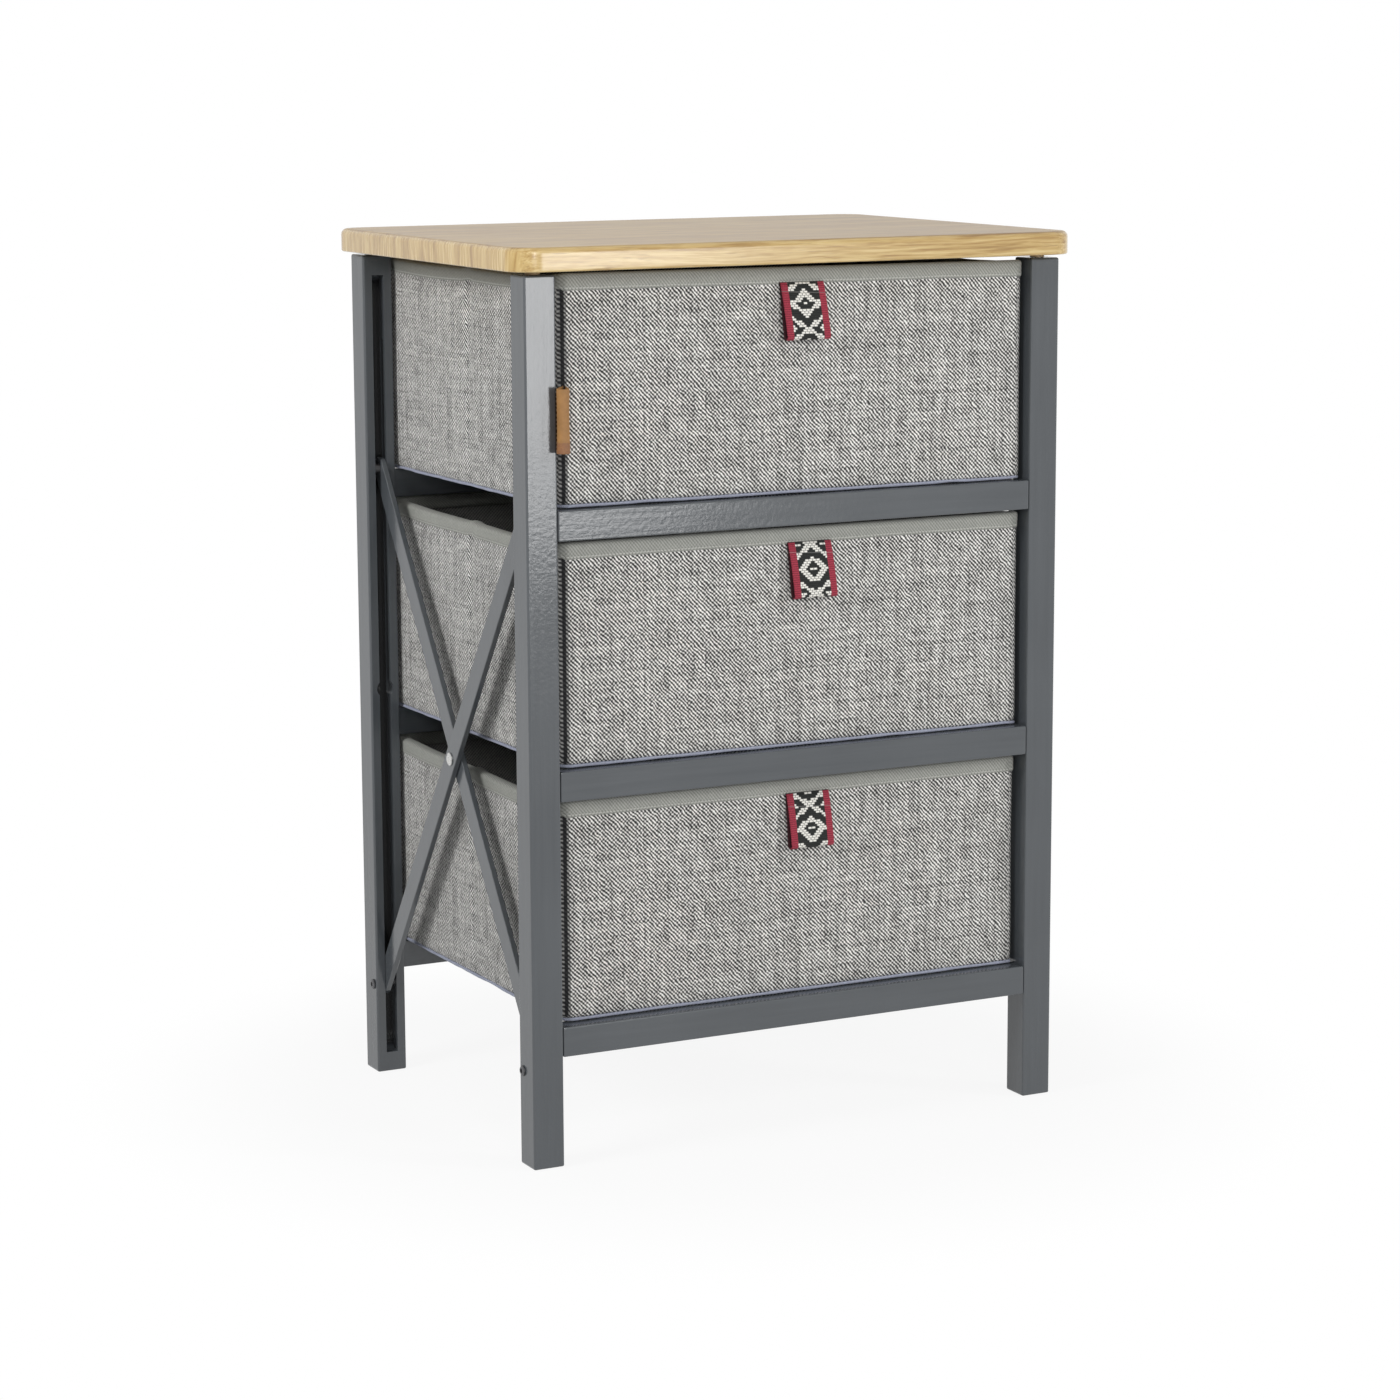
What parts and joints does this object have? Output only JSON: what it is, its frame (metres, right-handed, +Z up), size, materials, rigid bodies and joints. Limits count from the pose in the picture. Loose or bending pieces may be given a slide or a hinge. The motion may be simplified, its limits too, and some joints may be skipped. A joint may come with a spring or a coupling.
{
  "type": "drawer cabinet",
  "caption": "Folding cabinet: grey wooden frames on crossed side links, removable oak top and fabric drawers with webbing pulls.",
  "frame": {"origin": "on the floor under the middle of the table top, with the cabinet open", "axes": "+X to the right seen from the front, +Y from the drawers' fronts to the back, +Z up"},
  "size_m": [0.534, 0.398, 0.7729],
  "materials": {
    "slate_paint": "satin grey-blue paint over wood",
    "bright_steel": "plain zinc-bright steel",
    "light_oak": "oiled light oak, straight grain",
    "bare_beech": "bare turned beech",
    "woven_fabric": "coarse light and dark plain weave",
    "dark_lining": "matt dark cloth",
    "rim_tape": "fine ribbed binding tape",
    "grey_piping": "grey-blue piping cord",
    "fibre_board": "pressed fibre board, not seen in use",
    "patterned_webbing": "red-edged black webbing, light diamonds",
    "tan_leather": "smooth tan leather, bare"
  },
  "bodies": {
    "rear_frame": {"rear_left_post": "slate_paint", "rear_right_post": "slate_paint", "rear_lower_rail": "slate_paint", "rear_middle_rail": "slate_paint", "rear_upper_rail": "slate_paint", "rear_left_pivot_bolt": "bright_steel", "rear_right_pivot_bolt": "bright_steel"},
    "front_frame": {"front_left_post": "slate_paint", "front_right_post": "slate_paint", "front_lower_rail": "slate_paint", "front_middle_rail": "slate_paint", "front_upper_rail": "slate_paint", "front_left_pivot_bolt": "bright_steel", "front_right_pivot_bolt": "bright_steel"},
    "left_outer_link": {"left_outer_link": "slate_paint", "left_outer_slider": "bright_steel", "left_centre_rivet": "bright_steel"},
    "left_inner_link": {"left_inner_link": "slate_paint", "left_inner_slider": "bright_steel"},
    "right_outer_link": {"right_outer_link": "slate_paint", "right_outer_slider": "bright_steel", "right_centre_rivet": "bright_steel"},
    "right_inner_link": {"right_inner_link": "slate_paint", "right_inner_slider": "bright_steel"},
    "table_top": {"table_top": "light_oak", "top_dowel_front_left": "bare_beech", "top_dowel_front_right": "bare_beech", "top_dowel_rear_left": "bare_beech", "top_dowel_rear_right": "bare_beech"},
    "lower_drawer": {"lower_drawer_cover": "woven_fabric", "lower_drawer_lining": "dark_lining", "lower_drawer_rim_tape": "rim_tape", "lower_drawer_piping": "grey_piping", "lower_drawer_front_board": "fibre_board", "lower_drawer_back_board": "fibre_board", "lower_drawer_base_board": "fibre_board", "lower_drawer_left_side_board": "fibre_board", "lower_drawer_right_side_board": "fibre_board", "lower_drawer_pull_loop": "patterned_webbing"},
    "middle_drawer": {"middle_drawer_cover": "woven_fabric", "middle_drawer_lining": "dark_lining", "middle_drawer_rim_tape": "rim_tape", "middle_drawer_piping": "grey_piping", "middle_drawer_front_board": "fibre_board", "middle_drawer_back_board": "fibre_board", "middle_drawer_base_board": "fibre_board", "middle_drawer_left_side_board": "fibre_board", "middle_drawer_right_side_board": "fibre_board", "middle_drawer_pull_loop": "patterned_webbing"},
    "upper_drawer": {"upper_drawer_cover": "woven_fabric", "upper_drawer_lining": "dark_lining", "upper_drawer_rim_tape": "rim_tape", "upper_drawer_piping": "grey_piping", "upper_drawer_front_board": "fibre_board", "upper_drawer_back_board": "fibre_board", "upper_drawer_base_board": "fibre_board", "upper_drawer_left_side_board": "fibre_board", "upper_drawer_right_side_board": "fibre_board", "upper_drawer_pull_loop": "patterned_webbing", "upper_drawer_leather_tag": "tan_leather"}
  },
  "joints": [
    {"name": "fold", "type": "hinge", "parent": "rear_frame", "child": "left_outer_link", "pos_m": [-0.241, 0.1665, 0.0824], "axis": [-1, 0, 0], "range_deg": [0, 32.24]},
    {"name": "left_scissor", "type": "hinge", "parent": "left_outer_link", "child": "left_inner_link", "pos_m": [-0.241, 0, 0.32054], "axis": [-1, 0, 0], "range_deg": [-64.48, 0]},
    {"name": "front_frame_pivot", "type": "hinge", "parent": "left_inner_link", "child": "front_frame", "pos_m": [-0.241, -0.1665, 0.0824], "axis": [-1, 0, 0], "range_deg": [0, 32.24]},
    {"name": "right_link_pivot", "type": "hinge", "parent": "rear_frame", "child": "right_outer_link", "pos_m": [0.241, 0.1665, 0.0824], "axis": [-1, 0, 0], "range_deg": [0, 32.24]},
    {"name": "right_scissor", "type": "hinge", "parent": "right_outer_link", "child": "right_inner_link", "pos_m": [0.241, 0, 0.32054], "axis": [-1, 0, 0], "range_deg": [-64.48, 0]},
    {"name": "top_lift", "type": "slide", "parent": "rear_frame", "child": "table_top", "axis": [0, 0, 1], "range_m": [0, 0.1]},
    {"name": "lower_drawer_slide", "type": "slide", "parent": "rear_frame", "child": "lower_drawer", "axis": [0, -1, 0], "range_m": [0, 0.36]},
    {"name": "middle_drawer_slide", "type": "slide", "parent": "rear_frame", "child": "middle_drawer", "axis": [0, -1, 0], "range_m": [0, 0.36]},
    {"name": "upper_drawer_slide", "type": "slide", "parent": "rear_frame", "child": "upper_drawer", "axis": [0, -1, 0], "range_m": [0, 0.36]}
  ],
  "couplings": [
    {"joint": "left_scissor", "follows": "fold", "ratio": -2},
    {"joint": "front_frame_pivot", "follows": "fold", "ratio": 1},
    {"joint": "right_link_pivot", "follows": "fold", "ratio": 1},
    {"joint": "right_scissor", "follows": "fold", "ratio": -2}
  ]
}
